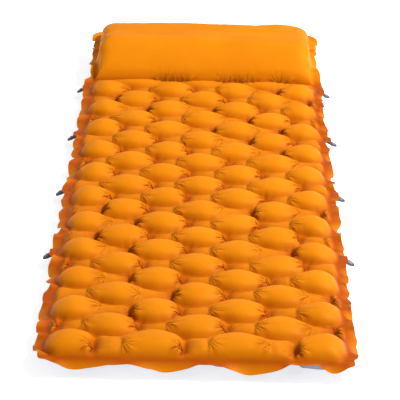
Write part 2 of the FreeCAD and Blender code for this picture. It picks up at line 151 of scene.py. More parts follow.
class Plan:
    """Grid lines across (columns) and along (rows) the pad, with the welds marked."""

    def __init__(self, columns, per_row, along_pillow, rng):
        inner = HALF_WIDTH - RIM
        edge = np.linspace(inner, HALF_WIDTH, 4)[1:]
        middle = np.linspace(-inner, inner, columns + 1)
        self.x = np.concatenate([-edge[::-1], middle, edge])
        self.rng = rng
        self.lines, self.strips, self.parts = [], [], []
        self.weld_rows = []
        self.pinches = []
        flat_line = np.ones_like(self.x)
        for k in range(3):
            self.add(flat_line * RIM * k / 3, -1, 0.0)
        last = flat_line * RIM
        self.add(last, -1, 0.0)
        for row in range(ROWS + 1):
            if row < ROWS:
                ahead = self.valley(row)
                count = per_row
            else:
                ahead = flat_line * PARTITION
                count = per_row // 2 + 1
            self.fill(last, ahead, count, row)
            self.weld_rows.append(len(self.lines) - 1)
            last = ahead
        self.partition_row = len(self.lines) - 1
        rear = flat_line * (LENGTH - RIM)
        self.fill(last, rear, along_pillow, ROWS + 1)
        for k in range(1, 4):
            self.add(flat_line * (LENGTH - RIM + RIM * k / 3), -1, 1.0)
        self.y = np.array(self.lines)
        self.x = np.broadcast_to(self.x, self.y.shape).copy()
        self.strip = np.array(self.strips)[:, None] * np.ones_like(self.x, dtype=int)
        self.part = np.array(self.parts)[:, None] * np.ones_like(self.x)
        self.mark_welds()
        self.draw_in_sides()
        self.round_corners()

    def add(self, line, strip, part):
        self.lines.append(line)
        self.strips.append(strip)
        self.parts.append(part)

    def fill(self, start, end, count, strip):
        for k in range(1, count + 1):
            t = k / count
            self.add(start + (end - start) * t, strip, t)

    def valley(self, row):
        """The weld behind a row: it bows back round the row's bumps."""
        side = -1.0 if row % 2 == 0 else 1.0
        slip = 0.005 * np.sin(2 * math.pi * self.x / 0.41 + self.rng.uniform(0, 6.28))
        bow = WAVE * np.cos(2 * math.pi * (self.x + slip) / CELL_WIDTH) * side
        sway = 0.0022 * np.sin(2 * math.pi * self.x / 0.33 + self.rng.uniform(0, 6.28))
        return FIRST_ROW + (row + 0.5) * ROW + bow + sway

    def necks(self, row):
        places = (-1, 0, 1) if row % 2 == 0 else (-1.5, -0.5, 0.5, 1.5)
        return [place * CELL_WIDTH for place in places]

    def mark_welds(self):
        inner = HALF_WIDTH - RIM
        rim_x = np.abs(self.x) > inner - 1e-6
        rim_y = (self.y < RIM + 1e-6) | (self.y > LENGTH - RIM - 1e-6)
        self.rim = rim_x | rim_y
        self.weld = self.rim.copy()
        bowed = np.abs(np.cos(2 * math.pi * self.x[0] / CELL_WIDTH)) > WELD_SPAN
        held = bowed & (np.abs(self.x[0]) < inner - SIDE_GAP)
        for line in self.weld_rows[:-1]:
            self.weld[line] |= held
        self.weld[self.partition_row] = True
        self.line_weld = self.weld & ~self.rim
        inside = np.nonzero(np.abs(self.x[0]) < inner - 0.01)[0]
        self.tucks = sorted(self.rng.choice(inside, 11, replace=False))
        for row in range(ROWS):
            lines = np.nonzero(self.strip[:, 0] == row)[0]
            middle = lines[len(lines) // 2 - 1]
            for neck in self.necks(row):
                firm_side = -1 if self.rng.uniform() < 0.65 else 1
                for side, firm in ((firm_side, True), (-firm_side, False)):
                    place = neck + side * CELL_WIDTH * PINCH * self.rng.uniform(0.75, 1.25)
                    if abs(place) > inner - 0.016:
                        continue
                    column = int(np.argmin(np.abs(self.x[0] - place)))
                    shift = int(self.rng.integers(-1, 2))
                    self.pinches.append((row, middle + shift, column, firm, side))
                    if firm:
                        self.weld[middle + shift - 1:middle + shift + 2, column] = True

    def draw_in_sides(self):
        """The swollen rows draw the rim in, unevenly, and most of all beside the valleys."""
        for side in (-1, 1):
            pull = np.zeros_like(self.y)
            for length, depth in ((ROW, 0.0030), (2 * ROW, 0.0030), (0.19, 0.0022)):
                phase = self.rng.uniform(0, 6.28)
                pull += depth * (1 - np.abs(np.sin(math.pi * self.y / length + phase)))
            pull *= smooth(0.03, 0.08, self.y) * (1 - smooth(LENGTH - 0.09, LENGTH - 0.03, self.y))
            pull *= away_from_tabs(self.y, side)
            near = smooth(HALF_WIDTH - 0.12, HALF_WIDTH - RIM, side * self.x)
            self.x -= side * pull * near

    def round_corners(self):
        """Square corners of the plan become round ones."""
        for side in (-1, 1):
            for foot in (True, False):
                dx = side * self.x - (HALF_WIDTH - CORNER)
                dy = (CORNER - self.y) if foot else (self.y - (LENGTH - CORNER))
                inside = (dx > 0) & (dy > 0)
                far = np.maximum(dx, dy)[inside] / np.hypot(dx, dy)[inside]
                self.x[inside] = side * (HALF_WIDTH - CORNER + dx[inside] * far)
                if foot:
                    self.y[inside] = CORNER - dy[inside] * far
                else:
                    self.y[inside] = LENGTH - CORNER + dy[inside] * far

    def flat(self):
        """Where each point is on the cut fabric, before it is inflated."""
        across = (FLAT_ACROSS
                  + (FLAT_PILLOW_ACROSS - FLAT_ACROSS) * smooth(PARTITION - 0.16, PARTITION, self.y))
        cells = self.y * FLAT_ALONG
        stretch = FLAT_PILLOW / (LENGTH - PARTITION)
        pillow = PARTITION * FLAT_ALONG + (self.y - PARTITION) * stretch
        return self.x * across, np.where(self.y < PARTITION, cells, pillow)

    def domes(self):
        """Rough inflated height of the fabric over each point."""
        height = np.zeros_like(self.x)
        room = np.clip((HALF_WIDTH - RIM - np.abs(self.x)) / 0.050, 0.0, 1.0)
        side = np.sqrt(1.0 - (1.0 - room) ** 2)
        for strip in range(ROWS + 1):
            chosen = self.strip == strip
            lines = np.nonzero(self.strip[:, 0] == strip)[0]
            chord = self.y[lines[-1]] - self.y[lines[0] - 1]
            crest = np.minimum(0.29 * chord, CELL_HEIGHT)
            for row, _, column, firm, _ in self.pinches:
                if row == strip:
                    reach = (self.x[0] - self.x[0, column]) / 0.007
                    crest = crest * (1.0 - (0.7 if firm else 0.1) * np.exp(-reach ** 2))
            across = np.broadcast_to(crest, self.x.shape)
            arch = np.sqrt(np.clip(1.0 - (2.0 * self.part - 1.0) ** 2, 0.0, 1.0))
            height[chosen] = (across * arch * side)[chosen]
        chosen = self.strip == ROWS + 1
        arch = (1.0 - np.abs(2.0 * self.part - 1.0) ** 2.4) ** (1 / 2.4)
        room = np.clip((HALF_WIDTH - RIM - np.abs(self.x)) / 0.050, 0.0, 1.0)
        side = (1.0 - (1.0 - room) ** 2.4) ** (1 / 2.4)
        height[chosen] = (PILLOW_RISE * arch * side)[chosen]
        return np.maximum(height, 0.004)

    def ripples(self):
        """Gentle waves of the free rim, deepest at its edge."""
        beyond = np.clip((np.abs(self.x) - (HALF_WIDTH - RIM)) / RIM, 0.0, 1.0)
        before = np.clip((RIM - self.y) / RIM, 0.0, 1.0)
        wave = np.zeros_like(self.x)
        for length, depth in ((2 * ROW, 0.0050), (ROW, 0.0040), (0.105, 0.0036), (0.040, 0.0016)):
            for side in (-1, 1):
                phase = self.rng.uniform(0, 6.28)
                here = np.sign(self.x) == side
                rise = depth * np.sin(2 * math.pi * self.y / length + phase)
                wave += rise * beyond * here * away_from_tabs(self.y, side)
        for length, depth in ((CELL_WIDTH, 0.0065), (CELL_WIDTH / 2, 0.0020), (0.23, 0.0025)):
            phase = self.rng.uniform(0, 6.28)
            wave += depth * np.sin(2 * math.pi * self.x / length + phase) * before
        return wave


# ---- inflating ----

def joined_layers(plan):
    """Point numbers of the top and bottom sheet: they share a point at each weld."""
    count = plan.x.size
    top = np.arange(count).reshape(plan.x.shape)
    bottom = top.copy()
    free = ~plan.weld
    bottom[free] = count + np.arange(free.sum())
    return top, bottom, free


def triangles(top, bottom):
    """Both sheets' triangles, with the same diagonals, and none twice."""
    made = {}
    rows, columns = top.shape
    for j in range(rows - 1):
        for i in range(columns - 1):
            corners = ((j, i), (j, i + 1), (j + 1, i + 1), (j + 1, i))
            split = ((0, 1, 2), (0, 2, 3)) if (i + j) % 2 == 0 else ((0, 1, 3), (1, 2, 3))
            for three in split:
                upper = tuple(int(top[corners[k]]) for k in three)
                lower = tuple(int(bottom[corners[k]]) for k in three)[::-1]
                made.setdefault(tuple(sorted(upper)), upper)
                made.setdefault(tuple(sorted(lower)), lower)
    return list(made.values())


def tab_places():
    """Side (+1 or -1) and distance from the foot of each tab, from the frame."""
    places = []
    for side, sign in TABS.items():
        for number in range(1, TABS_PER_SIDE + 1):
            low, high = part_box(f"tab_{side}_{number}")
            places.append((side, sign, number, (low.y + high.y) / 2 - FOOT))
    return places


def away_from_tabs(along, side):
    """0 beside each tab of one side, where the rim lies flat, and 1 elsewhere."""
    calm = np.ones_like(along)
    for _, sign, _, place in tab_places():
        if sign == side:
            calm *= 1 - np.exp(-((along - place) / 0.022) ** 6)
    return calm


def holding(plan, top, total):
    """How firmly each point keeps its place while the fabric swells."""
    hold = np.zeros(total)
    hold[top[plan.line_weld]] = 1.0
    pinched = plan.weld & ~plan.rim & ~plan.line_weld
    hold[top[pinched]] = 1.0
    inner = HALF_WIDTH - RIM
    seam = plan.rim & (np.abs(plan.x) < inner + 0.001) & (plan.y > RIM - 0.001)
    hold[top[seam]] = 0.01
    for _, sign, _, place in tab_places():
        near = plan.rim & (plan.x * sign > 0) & (np.abs(plan.y - place) < 0.019)
        hold[top[near]] = 1.0
    return hold


def inflate(plan, frames):
    """Cloth simulation of both sheets under air pressure, from their flat cut."""
    top, bottom, free = joined_layers(plan)
    flat_x, flat_y = plan.flat()
    height = plan.domes()
    wave = plan.ripples()
    noise = plan.rng.uniform(-0.0004, 0.0004, plan.x.shape)
    upper_z = np.where(free, height + noise, wave)
    lower_z = -(height + noise)
    start = np.stack([plan.x, plan.y, upper_z], -1).reshape(-1, 3)
    under = np.stack([plan.x, plan.y, lower_z], -1)[free]
    start = np.concatenate([start, under])
    cut = np.stack([flat_x, flat_y, np.zeros_like(flat_x)], -1)
    cut = np.concatenate([cut.reshape(-1, 3), cut[free]])

    body = add_mesh("inflating", cut, triangles(top, bottom))
    body.shape_key_add(name="cut")
    domed = body.shape_key_add(name="domed")
    domed.data.foreach_set("co", start.astype(np.float32).ravel())
    domed.value = 1.0

    hold = holding(plan, top, len(start))
    pins = body.vertex_groups.new(name="hold")
    for number in np.nonzero(hold)[0]:
        pins.add([int(number)], float(hold[number]), "REPLACE")
    air = body.vertex_groups.new(name="air")
    pillow = plan.y > PARTITION
    for sheet in (top, bottom):
        for chosen, share in ((free & ~pillow, 1.0), (free & pillow, 0.12)):
            air.add([int(n) for n in sheet[chosen]], share, "REPLACE")

    cloth = body.modifiers.new("Cloth", "CLOTH")
    settings = cloth.settings
    settings.rest_shape_key = body.data.shape_keys.key_blocks["cut"]
    settings.quality = 4
    settings.mass = 0.15
    settings.tension_stiffness = 20
    settings.compression_stiffness = 6
    settings.shear_stiffness = 8
    settings.bending_stiffness = 0.5
    settings.tension_damping = 8
    settings.compression_damping = 8
    settings.shear_damping = 8
    settings.air_damping = 2
    settings.use_pressure = True
    settings.uniform_pressure_force = 5.0
    settings.vertex_group_pressure = "air"
    settings.vertex_group_mass = "hold"
    settings.effector_weights.gravity = 0.0
    cloth.collision_settings.use_collision = False
    SCENE.frame_start = 1
    SCENE.frame_end = frames
    cloth.point_cache.frame_start = 1
    cloth.point_cache.frame_end = frames
    for number in range(1, frames + 1):
        SCENE.frame_set(number)
    apply_modifiers(body)
    points = np.empty(len(body.data.vertices) * 3, np.float32)
    body.data.vertices.foreach_get("co", points)
    points = points.reshape(-1, 3).astype(float)
    bpy.data.objects.remove(body)
    SCENE.frame_set(1)
    return points[top], points[bottom]


# ---- laying the inflated sheets on the ground, and fitting the valve ----

def valve_frame():
    """The valve's middle on the pillow's surface and its outward direction."""
    joint = next(j for j in frame["joints"] if j["name"] == "diaphragm_lift")
    outward = -Vector(joint["axis"]).normalized()
    low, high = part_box("valve_base")
    neck = (low + high) / 2
    hinge = next(j for j in frame["joints"] if j["name"] == "plug_hinge")
    seat = Vector(hinge["pos_m"])
    seat.x = neck.x
    return seat - outward * 0.003, outward


def rim_folds(plan, rng):
    """Sharp folds of the free rim, one beside each valley, and its droop at the foot."""
    inner = HALF_WIDTH - RIM
    shift = np.zeros(plan.x.shape + (3,))
    valleys = FIRST_ROW + (np.arange(-1, ROWS) + 0.5) * ROW
    behind = PARTITION + np.arange(0.022, LENGTH - RIM - PARTITION, 0.041)
    for side in (-1, 1):
        beyond = smooth(inner - 0.004, HALF_WIDTH, side * plan.x)
        near = smooth(inner - 0.055, HALF_WIDTH, side * plan.x)
        lift = -RIM_DROOP * beyond
        inward = 0.0
        for place in [*valleys, *behind]:
            place += rng.normal(0, 0.006)
            gap = np.abs(plan.y - place - rng.uniform(-0.4, 0.4) * (side * plan.x - inner))
            cusp = np.exp(-gap / CUSP_WIDTH)
            lift += rng.uniform(0.004, 0.026) * cusp * beyond
            inward += rng.uniform(0.003, 0.015) * cusp
        calm = away_from_tabs(plan.y, side)
        calm = calm * (1 - np.exp(-((plan.y - PARTITION) / SPLIT_CALM) ** 4))
        shift[..., 2] += lift * calm
        shift[..., 0] -= side * inward * near * calm
    before = 1 - smooth(0.0, RIM, plan.y)
    dip = -FOOT_DROOP * before
    for place in np.arange(-3, 4) * CELL_WIDTH / 2:
        place += rng.normal(0, 0.012)
        gap = np.abs(plan.x - place)
        dip += rng.uniform(0.000, 0.019) * np.exp(-gap / 0.024) * before
        shift[..., 1] += rng.uniform(0.001, 0.006) * np.exp(-gap / 0.016) * before
    shift[..., 2] += dip * (1 - smooth(inner - 0.04, inner, np.abs(plan.x)))
    return shift


def lay_down(sheet, plan):
    """From the level of the welds to the ground: seam heights, flat underside."""
    rear = smooth(PARTITION, PARTITION + 0.11, plan.y)
    tail = smooth(LENGTH - 0.10, LENGTH, plan.y) * (plan.x / HALF_WIDTH) ** 4
    lift = SEAM_Z + (PILLOW_SEAM - SEAM_Z) * rear + 0.010 * tail
    placed = sheet.copy()
    placed[..., 1] += FOOT
    placed[..., 2] += lift
    z = placed[..., 2]
    z = 0.5 * (z + np.sqrt(z * z + GROUND_SOFTNESS ** 2))
    placed[..., 2] = z + LAYER * np.exp(-z / 0.003)
    return placed


def shape_pillow(sheet, rng):
    """The pillow's top is a little hollow, with long soft folds, and its ends are gathered."""
    x = sheet[..., 0]
    along = (sheet[..., 1] - FOOT - PARTITION) / (LENGTH - RIM - PARTITION)
    rise = np.clip((sheet[..., 2] - SEAM_Z) / (PILLOW_RISE + PILLOW_SEAM - SEAM_Z), 0.0, 1.0)
    crown = smooth(0.45, 0.95, rise)
    hollow = np.exp(-((along - 0.52) / 0.17) ** 2) * (1 - (x / HALF_WIDTH) ** 4)
    sheet[..., 2] -= 0.0095 * hollow * crown
    for _ in range(7):
        middle, place = rng.uniform(-0.20, 0.22), rng.uniform(0.22, 0.80)
        reach, slant = rng.uniform(0.05, 0.14), rng.uniform(-0.35, 0.35)
        line = along - place - slant * (x - middle)
        window = np.exp(-((x - middle) / reach) ** 2)
        sheet[..., 2] -= rng.uniform(0.0020, 0.0046) * np.exp(-(line / 0.038) ** 2) * window * crown
    for side in (-1, 1):
        from_end = HALF_WIDTH - RIM - side * x
        gather = np.exp(-np.clip(from_end, 0, None) / 0.030) * smooth(0.0, 0.012, from_end)
        phase = rng.uniform(0, 6.28)
        folds = np.cos(along * 44 + phase + 2.0 * np.sin(along * 9 + phase))
        sheet[..., 0] += side * 0.0030 * gather * folds * rise
    return sheet


def seat_valve(sheet):
    """The pillow's skin lies flat under the valve's weld disc, spread round a hole.

    Gives the row and column of the grid point in the hole's middle.
    """
    middle, outward = valve_frame()
    middle, outward = np.array(middle), np.array(outward)
    away = sheet - middle
    height = away @ outward
    beside = away - height[..., None] * outward
    reach = np.linalg.norm(beside, axis=-1)
    close = 1.0 - smooth(0.030, 0.050, np.abs(height))
    close *= smooth(PILLOW_SEAM + 0.002, PILLOW_SEAM + 0.015, sheet[..., 2])
    near = (1.0 - smooth(0.025, 0.075, reach)) * close
    flat = height + (-SEAT_GAP - height) * near
    wider = (reach ** 4 + VALVE_HOLE ** 4) ** 0.25 / np.maximum(reach, 1e-6)
    wider = 1.0 + (wider - 1.0) * close
    sheet[:] = middle + flat[..., None] * outward + beside * wider[..., None]
    return np.unravel_index(np.argmin(reach + np.abs(height)), reach.shape)


def crease_fans(made, pinches, rng):
    """Short folds that run out from each pinch into the swollen fabric round it.

    A pinch is its place, its strength and the side its bump is on (0 for both). The
    attributes fan and rise tell the material where the creases and hollows are, where it
    paints shade.
    """
    mesh = made.data
    count = len(mesh.vertices)
    points = np.empty(count * 3, np.float32)
    normals = np.empty(count * 3, np.float32)
    mesh.vertices.foreach_get("co", points)
    mesh.vertices.foreach_get("normal", normals)
    points = points.reshape(-1, 3).astype(float)
    normals = normals.reshape(-1, 3)
    sunk = np.zeros(count)
    notch = np.zeros(count)
    fan = np.zeros((count, 3))
    nearest = np.full(count, 1.0)
    for place, strength, side in pinches:
        away = points - place
        reach = np.linalg.norm(away, axis=1)
        near = reach < FAN_REACH
        angle = np.arctan2(away[near, 1], away[near, 0])
        rays = int(rng.integers(8, 12))
        fold = (0.5 + 0.5 * np.cos(rays * angle + rng.uniform(0, 6.28))) ** 3
        toward = 1.0 if side == 0 else 0.15 + 0.85 * smooth(-0.1, 0.6, side * np.cos(angle))
        fold *= toward
        spread = smooth(0.003, 0.014, reach[near]) * (1 - smooth(0.020, 0.046, reach[near]))
        sunk[near] = np.maximum(sunk[near], strength * fold * spread)
        beside = away[near, 0] - rng.uniform(-9.0, 9.0) * away[near, 1] ** 2
        across = np.exp(-(beside / CREASE_WIDTH) ** 2)
        slump = np.exp(-(beside / SLUMP) ** 2) * (side * beside < 0)
        across = np.maximum(0.65 * across, 0.42 * slump) * strength ** 2
        across *= 1 - smooth(0.012, 0.032, np.abs(away[near, 1]))
        notch[near] = np.maximum(notch[near], across)
        aim = np.arctan2(away[:, 1], away[:, 0])
        ahead = 1.0 if side == 0 else 0.1 + 0.9 * smooth(-0.1, 0.6, side * np.cos(aim))
        closer = near & (reach < nearest)
        nearest[closer] = reach[closer]
        fan[closer, :2] = away[closer, :2]
        fan[closer, 2] = (strength * (1 - smooth(0.014, 0.038, reach)) * ahead)[closer]
    seam = HALF_WIDTH - RIM
    inside = 1 - smooth(seam - 0.014, seam - 0.004, np.abs(points[:, 0]))
    inside *= smooth(RIM + 0.002, RIM + 0.010, points[:, 1] - FOOT)
    sunk *= inside
    notch *= inside
    fan[:, 2] *= inside
    moved = points - normals * (sunk * FOLD_DEPTH)[:, None]
    moved[:, 2] -= notch * (points[:, 2] - SEAM_Z) * (points[:, 1] - FOOT < PARTITION)
    mesh.vertices.foreach_set("co", moved.astype(np.float32).ravel())
    attribute = mesh.attributes.new("fan", "FLOAT_VECTOR", "POINT")
    attribute.data.foreach_set("vector", fan.astype(np.float32).ravel())
    # rise is the height above the seam, lowered in folds and crease notches; the material paints shade where it is
    # low.
    rise = np.clip(np.abs(moved[:, 2] - SEAM_Z) / CELL_HEIGHT, 0.0, 1.0)
    rise = np.clip(rise * (1 - 0.5 * notch) - 0.75 * sunk, 0.0, 1.0)
    attribute = mesh.attributes.new("rise", "FLOAT", "POINT")
    attribute.data.foreach_set("value", rise.astype(np.float32))


def quads(rows, columns, flip, keep=None):
    faces = []
    for j in range(rows - 1):
        for i in range(columns - 1):
            if keep is not None and not keep[j, i]:
                continue
            a, b = j * columns + i, j * columns + i + 1
            c, d = b + columns, a + columns
            faces.append((a, d, c, b) if flip else (a, b, c, d))
    return faces


def sheet_piece(name, points, edge, flip, pinches, rng, keep=None):
    """One sheet as a smooth mesh, a hair off the middle of its welds.

    edge marks the points of the rim's cut edge, flip turns the faces down, and keep
    marks the grid's squares that aren't cut out.
    """
    rows, columns = points.shape[:2]
    made = add_mesh(name, points.reshape(-1, 3), quads(rows, columns, flip, keep))
    mesh = made.data
    normals = np.empty(len(mesh.vertices) * 3, np.float32)
    mesh.vertices.foreach_get("normal", normals)
    off = np.where(edge, EDGE_LAYER, LAYER).reshape(-1, 1)
    moved = points.reshape(-1, 3) + normals.reshape(-1, 3) * off
    mesh.vertices.foreach_set("co", moved.astype(np.float32).ravel())
    smoother = made.modifiers.new("Subdivision", "SUBSURF")
    smoother.levels = 1
    smoother.render_levels = 1
    smoother.boundary_smooth = "PRESERVE_CORNERS"
    apply_modifiers(made)
    crease_fans(made, pinches, rng)
    for face in made.data.polygons:
        face.use_smooth = True
    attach(made, "pad")
    return made


def make_sheets():
    """The three fabric panels, inflated, laid down and finished."""
    rng = np.random.default_rng(SEED)
    plan = Plan(columns=78, per_row=11, along_pillow=34, rng=rng)
    upper, lower = inflate(plan, frames=SIM_FRAMES)
    folds = rim_folds(plan, rng)
    upper = lay_down(upper + folds, plan)
    lower = lay_down(lower + folds, plan)
    line = plan.partition_row
    pillow_skin = shape_pillow(upper[line:].copy(), rng)
    row, column = seat_valve(pillow_skin)
    keep = np.ones(pillow_skin.shape[:2], bool)
    keep[row - 1:row + 1, column - 1:column + 1] = False
    above = [(upper[j, i], FOLD_SHARE[firm], side) for _, j, i, firm, side in plan.pinches]
    below = [(lower[j, i], FOLD_SHARE[firm], side) for _, j, i, firm, side in plan.pinches]
    front = [(pillow_skin[0, i], TUCK_SHARE, 0) for i in plan.tucks]
    edge = np.ones_like(plan.rim)
    edge[1:-1, 1:-1] = False
    top = sheet_piece("top_fabric", upper[:line + 1], edge[:line + 1], False, above + front, rng)
    pillow = sheet_piece("pillow_fabric", pillow_skin, edge[line:], False, front, rng, keep)
    bottom = sheet_piece("bottom_fabric", lower, edge, True, below, rng)
    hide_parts("top_sheet")
    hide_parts("pillow_panel")
    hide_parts("bottom_sheet")
    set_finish(top, "orange_fabric")
    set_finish(pillow, "orange_fabric")
    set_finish(bottom, "grey_fabric")
    return top, pillow, bottom


# ---- side tabs ----

def side_turn(sign, droop):
    """From a tab's own directions (out, along the pad, up) to the row frame."""
    out = Vector((sign * math.cos(droop), 0, -math.sin(droop)))
    up = Vector((sign * math.sin(droop), 0, math.cos(droop)))
    along = up.cross(out)
    return out, along, up


def slab(name, spans, width, half):
    """A soft-edged strip: spans gives its middle line and width share from root to tip."""
    verts, faces = [], []
    across = 12
    ring = []
    for k in range(across + 1):
        ring.append((-1 + 2 * k / across, 1.0))
    for k in range(across, -1, -1):
        ring.append((-1 + 2 * k / across, -1.0))
    for middle, _, along, up, share in spans:
        for t, face in ring:
            edge = math.sqrt(max(0.0, 1.0 - abs(t) ** 8))
            place = middle + along * (t * width / 2 * share) + up * (face * half * (0.35 + 0.65 * edge))
            verts.append(place)
    size = len(ring)
    for s in range(len(spans) - 1):
        for k in range(size):
            a, b = s * size + k, s * size + (k + 1) % size
            faces.append((a, b, b + size, a + size))
    faces.append(tuple(range(size))[::-1])
    faces.append(tuple(range((len(spans) - 1) * size, len(spans) * size)))
    return add_mesh(name, verts, faces)


def joint_place(name):
    return Vector(next(j for j in frame["joints"] if j["name"] == name)["pos_m"])


def tab_root(fold, level, inward):
    """Middle of a tab's strap inward of its fold, where it rises to the rim's underside."""
    rise = 0.0013 * min(1.0, inward / 0.006)
    return fold - level[0] * inward + level[2] * (rise - 0.0002)


def add_stitch(verts, faces, start, end, up):
    """One stitch of thick thread, its ends sunk into the fabric."""
    along = end - start
    beside = along.cross(up).normalized()
    first = len(verts)
    for k in range(5):
        t = k / 4
        bow = math.sin(math.pi * t)
        middle = start + along * t + up * (THREAD * (1.1 * bow - 0.6))
        for corner in range(6):
            turn = corner * math.pi / 3
            verts.append(middle + (beside * math.cos(turn) + up * math.sin(turn))
                         * THREAD * (0.45 + 0.55 * bow))
    for k in range(4):
        for corner in range(6):
            a, b = first + k * 6 + corner, first + k * 6 + (corner + 1) % 6
            faces.append((a, b, b + 6, a + 6))


def make_tacks():
    """Two bars of stitches that sew each tab's root to the rim, seen on both faces."""
    verts, faces = [], []
    for side, sign, number, _ in tab_places():
        fold = joint_place(f"tab_{side}_{number}_fold")
        level = side_turn(sign, 0.0)
        for inward in (0.0030, 0.0066):
            root = tab_root(fold, level, inward)
            above = Vector((root.x, root.y, SEAM_Z + LAYER + 0.0001))
            below = root - level[2] * TAB_HALF
            for middle, up in ((above, level[2]), (below, -level[2])):
                for k in range(STITCHES):
                    place = middle + level[1] * ((k - (STITCHES - 1) / 2) * 0.0015)
                    lean = level[0] * 0.0010 + level[1] * 0.0004
                    add_stitch(verts, faces, place - lean, place + lean, up)
    tacks = add_mesh("tab_tacks", verts, faces)
    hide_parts("tab_patches")
    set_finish(tacks, "tab_fabric")
    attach(tacks, "pad")
    return tacks


def make_web(name, path, width, half, slot):
    """A thin living hinge: path is its middle line, as (x, height) from the valve's middle."""
    middle, outward = valve_frame()
    across = outward.cross(Vector((1, 0, 0)))

    def at(x, w):
        return middle + Vector((x, 0, 0)) + outward * w

    spans = []
    for k, (x, w) in enumerate(path):
        before, after = path[max(k - 1, 0)], path[min(k + 1, len(path) - 1)]
        run = Vector((after[0] - before[0], 0, 0)) + outward * (after[1] - before[1])
        run.normalize()
        spans.append((at(x, w), run, across, run.cross(across).normalized(), 1.0))
    web = slab(name, spans, width, half)
    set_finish(web, slot)
    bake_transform(web)
    return web


def make_webs():
    """The webs that join the plug's strap to the tether, and the cap's strap to the plug."""
    turn = [math.radians(-90 - 22.5 * k) for k in range(9)]
    bend = [(-0.0187 + 0.0013 * math.cos(a), 0.0030 + 0.0013 * math.sin(a)) for a in turn]
    bend = [(-0.0176, 0.0017), (-0.0182, 0.0017), *bend, (-0.0182, 0.0043), (-0.0172, 0.0043)]
    plug = make_web("plug_web", bend, 0.0070, 0.0004, "valve_soft_plastic")
    step = [(0.0146, 0.00540), (0.0138, 0.00542), (0.0133, 0.00552), (0.0129, 0.00575),
            (0.0125, 0.00594), (0.0120, 0.00600), (0.0112, 0.00600)]
    cap = make_web("cap_web", step, 0.0062, 0.0003, "valve_plastic")
    return [plug, cap]


def make_tabs():
    """Each tab's strap, from under the rim to its tip, bending at the fold."""
    made = []
    for side, sign, number, _ in tab_places():
        key = f"{side}_{number}"
        fold = joint_place(f"tab_{key}_fold")
        low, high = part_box(f"tab_{key}")
        width = high.y - low.y
        level = side_turn(sign, 0.0)
        hung = side_turn(sign, TAB_DROOP)
        spans = []
        for step in range(7):
            t = step / 6
            spans.append((tab_root(fold, level, TAB_ROOT * (1 - t)), *level, 1.0))
        for step in range(1, 29):
            distance = TAB_REACH * math.sin(math.pi / 2 * step / 28)
            left = TAB_REACH - distance
            share = 1.0
            if left < TAB_ROUND:
                corner = math.sqrt(max(0.0, TAB_ROUND ** 2 - (TAB_ROUND - left) ** 2))
                share = 1.0 - (TAB_ROUND - corner) / (width / 2)
            turn = side_turn(sign, TAB_DROOP * min(1.0, distance / TAB_BEND))
            spans.append((fold + hung[0] * distance, *turn, share))
        strap = slab(f"tab_strap_{key}", spans, width, TAB_HALF)
        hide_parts(f"tab_{key}")
        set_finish(strap, "tab_fabric")
        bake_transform(strap)
        made.append(strap)
    return made


# ---- materials ----

